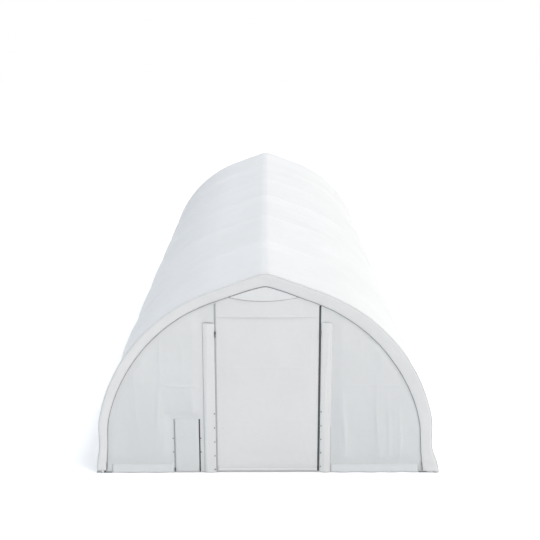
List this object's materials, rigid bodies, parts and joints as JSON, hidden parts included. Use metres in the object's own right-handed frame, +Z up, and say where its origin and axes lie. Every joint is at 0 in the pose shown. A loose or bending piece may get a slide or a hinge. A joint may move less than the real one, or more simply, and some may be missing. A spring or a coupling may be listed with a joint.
{
  "type": "tunnel greenhouse",
  "caption": "Walk-in tunnel greenhouse with peaked steel hoops, a white woven film cover, gable vents and a zipped roll-up door.",
  "frame": {"origin": "on the ground at the middle of the plan", "axes": "+Z up, +Y from the door end towards the rear wall, +X to the right seen from the door"},
  "size_m": [3.66, 9.144, 2.2901],
  "materials": {
    "door_film": "woven polyethylene, translucent, satin",
    "cover_film": "woven ripstop polyethylene, translucent, satin",
    "wall_film": "woven polyethylene, translucent, satin",
    "screen_mesh": "fine insect mesh",
    "sleeve_film": "laminated polyethylene, glossy",
    "stud_metal": "pressed studs",
    "zip_tape": "woven tape with moulded teeth",
    "slider_metal": "die cast, satin",
    "webbing": "woven webbing",
    "bolt_steel": "zinc plated",
    "plate_steel": "galvanised",
    "bar_aluminium": "mill finish",
    "tube_steel": "galvanised"
  },
  "bodies": {
    "frame_and_cover": {"base_plates": "plate_steel", "base_rails": "tube_steel", "clamp_bolts": "bolt_steel", "door_header": "tube_steel", "door_post_left": "tube_steel", "door_post_right": "tube_steel", "door_ties": "webbing", "door_top_panel": "wall_film", "door_zip_left": "zip_tape", "door_zip_right": "zip_tape", "end_sills": "tube_steel", "front_cover_hem": "cover_film", "front_panel_left": "wall_film", "front_panel_right": "wall_film", "front_vent_screen": "screen_mesh", "hoop_1_bows": "tube_steel", "hoop_2_bows": "tube_steel", "hoop_3_bows": "tube_steel", "hoop_4_bows": "tube_steel", "hoop_5_bows": "tube_steel", "hoop_6_bows": "tube_steel", "hoop_7_bows": "tube_steel", "hoop_legs": "tube_steel", "left_purlin": "tube_steel", "main_cover": "cover_film", "post_sleeve_left": "sleeve_film", "post_sleeve_right": "sleeve_film", "purlin_clamps": "plate_steel", "rear_cover_hem": "cover_film", "rear_panel": "wall_film", "rear_posts": "tube_steel", "rear_vent_screen": "screen_mesh", "ridge_purlin": "tube_steel", "right_purlin": "tube_steel", "sleeve_studs": "stud_metal", "tube_plugs": "tube_steel", "utility_studs": "stud_metal", "utility_zip_tapes": "zip_tape"},
    "front_vent_flap": {"front_vent_flap": "wall_film"},
    "rear_vent_flap": {"rear_vent_flap": "wall_film"},
    "utility_flap": {"utility_flap": "wall_film"},
    "door_slider_left": {"door_slider_left": "slider_metal"},
    "door_slider_right": {"door_slider_right": "slider_metal"},
    "utility_slider_left": {"utility_slider_left": "slider_metal"},
    "utility_slider_right": {"utility_slider_right": "slider_metal"},
    "curtain_band_01": {"door_curtain_01": "door_film"},
    "curtain_band_02": {"door_curtain_02": "door_film"},
    "curtain_band_03": {"door_curtain_03": "door_film"},
    "curtain_band_04": {"door_curtain_04": "door_film"},
    "curtain_band_05": {"door_curtain_05": "door_film"},
    "curtain_band_06": {"door_curtain_06": "door_film"},
    "curtain_band_07": {"door_curtain_07": "door_film"},
    "curtain_band_08": {"door_curtain_08": "door_film"},
    "curtain_band_09": {"door_curtain_09": "door_film"},
    "curtain_band_10": {"door_curtain_10": "door_film"},
    "curtain_band_11": {"door_curtain_11": "door_film"},
    "curtain_band_12": {"door_curtain_12": "door_film"},
    "curtain_band_13": {"door_curtain_13": "door_film"},
    "curtain_band_14": {"door_curtain_14": "door_film", "door_bottom_bar": "bar_aluminium"}
  },
  "joints": [
    {"name": "door_roll", "type": "hinge", "parent": "frame_and_cover", "child": "curtain_band_01", "pos_m": [0.023, -4.551, 1.8], "axis": [-1, 0, 0], "range_deg": [0, 26]},
    {"name": "door_roll_02", "type": "hinge", "parent": "curtain_band_01", "child": "curtain_band_02", "pos_m": [0.023, -4.551, 1.6172], "axis": [-1, 0, 0], "range_deg": [0, 67]},
    {"name": "door_roll_03", "type": "hinge", "parent": "curtain_band_02", "child": "curtain_band_03", "pos_m": [0.023, -4.551, 1.44536], "axis": [-1, 0, 0], "range_deg": [0, 66.5]},
    {"name": "door_roll_04", "type": "hinge", "parent": "curtain_band_03", "child": "curtain_band_04", "pos_m": [0.023, -4.551, 1.28384], "axis": [-1, 0, 0], "range_deg": [0, 66]},
    {"name": "door_roll_05", "type": "hinge", "parent": "curtain_band_04", "child": "curtain_band_05", "pos_m": [0.023, -4.551, 1.132], "axis": [-1, 0, 0], "range_deg": [0, 65.5]},
    {"name": "door_roll_06", "type": "hinge", "parent": "curtain_band_05", "child": "curtain_band_06", "pos_m": [0.023, -4.551, 0.98928], "axis": [-1, 0, 0], "range_deg": [0, 65]},
    {"name": "door_roll_07", "type": "hinge", "parent": "curtain_band_06", "child": "curtain_band_07", "pos_m": [0.023, -4.551, 0.85512], "axis": [-1, 0, 0], "range_deg": [0, 64.5]},
    {"name": "door_roll_08", "type": "hinge", "parent": "curtain_band_07", "child": "curtain_band_08", "pos_m": [0.023, -4.551, 0.72901], "axis": [-1, 0, 0], "range_deg": [0, 64]},
    {"name": "door_roll_09", "type": "hinge", "parent": "curtain_band_08", "child": "curtain_band_09", "pos_m": [0.023, -4.551, 0.61047], "axis": [-1, 0, 0], "range_deg": [0, 63.5]},
    {"name": "door_roll_10", "type": "hinge", "parent": "curtain_band_09", "child": "curtain_band_10", "pos_m": [0.023, -4.551, 0.49904], "axis": [-1, 0, 0], "range_deg": [0, 63]},
    {"name": "door_roll_11", "type": "hinge", "parent": "curtain_band_10", "child": "curtain_band_11", "pos_m": [0.023, -4.551, 0.39429], "axis": [-1, 0, 0], "range_deg": [0, 62.5]},
    {"name": "door_roll_12", "type": "hinge", "parent": "curtain_band_11", "child": "curtain_band_12", "pos_m": [0.023, -4.551, 0.29583], "axis": [-1, 0, 0], "range_deg": [0, 62]},
    {"name": "door_roll_13", "type": "hinge", "parent": "curtain_band_12", "child": "curtain_band_13", "pos_m": [0.023, -4.551, 0.20328], "axis": [-1, 0, 0], "range_deg": [0, 61.5]},
    {"name": "door_roll_14", "type": "hinge", "parent": "curtain_band_13", "child": "curtain_band_14", "pos_m": [0.023, -4.551, 0.11628], "axis": [-1, 0, 0], "range_deg": [0, 61]},
    {"name": "front_vent_fold", "type": "hinge", "parent": "frame_and_cover", "child": "front_vent_flap", "pos_m": [0, -4.5595, 2.0335], "axis": [1, 0, 0], "range_deg": [0, 165]},
    {"name": "rear_vent_fold", "type": "hinge", "parent": "frame_and_cover", "child": "rear_vent_flap", "pos_m": [0, 4.5595, 2.0335], "axis": [-1, 0, 0], "range_deg": [0, 165]},
    {"name": "utility_flap_lift", "type": "hinge", "parent": "frame_and_cover", "child": "utility_flap", "pos_m": [-0.864, -4.5595, 0.6285], "axis": [-1, 0, 0], "range_deg": [0, 165]},
    {"name": "door_zip_left_run", "type": "slide", "parent": "frame_and_cover", "child": "door_slider_left", "axis": [0, 0, -1], "range_m": [0, 1.54]},
    {"name": "door_zip_right_run", "type": "slide", "parent": "frame_and_cover", "child": "door_slider_right", "axis": [0, 0, -1], "range_m": [0, 1.54]},
    {"name": "utility_zip_left_run", "type": "slide", "parent": "frame_and_cover", "child": "utility_slider_left", "axis": [0, 0, 1], "range_m": [0, 0.57]},
    {"name": "utility_zip_right_run", "type": "slide", "parent": "frame_and_cover", "child": "utility_slider_right", "axis": [0, 0, 1], "range_m": [0, 0.57]}
  ],
  "couplings": [
    {"joint": "door_roll_02", "follows": "door_roll", "ratio": 2.5385},
    {"joint": "door_roll_03", "follows": "door_roll", "ratio": 2.5192},
    {"joint": "door_roll_04", "follows": "door_roll", "ratio": 2.5},
    {"joint": "door_roll_05", "follows": "door_roll", "ratio": 2.4808},
    {"joint": "door_roll_06", "follows": "door_roll", "ratio": 2.4615},
    {"joint": "door_roll_07", "follows": "door_roll", "ratio": 2.4423},
    {"joint": "door_roll_08", "follows": "door_roll", "ratio": 2.4231},
    {"joint": "door_roll_09", "follows": "door_roll", "ratio": 2.4038},
    {"joint": "door_roll_10", "follows": "door_roll", "ratio": 2.3846},
    {"joint": "door_roll_11", "follows": "door_roll", "ratio": 2.3654},
    {"joint": "door_roll_12", "follows": "door_roll", "ratio": 2.3462},
    {"joint": "door_roll_13", "follows": "door_roll", "ratio": 2.3269},
    {"joint": "door_roll_14", "follows": "door_roll", "ratio": 2.3077}
  ]
}
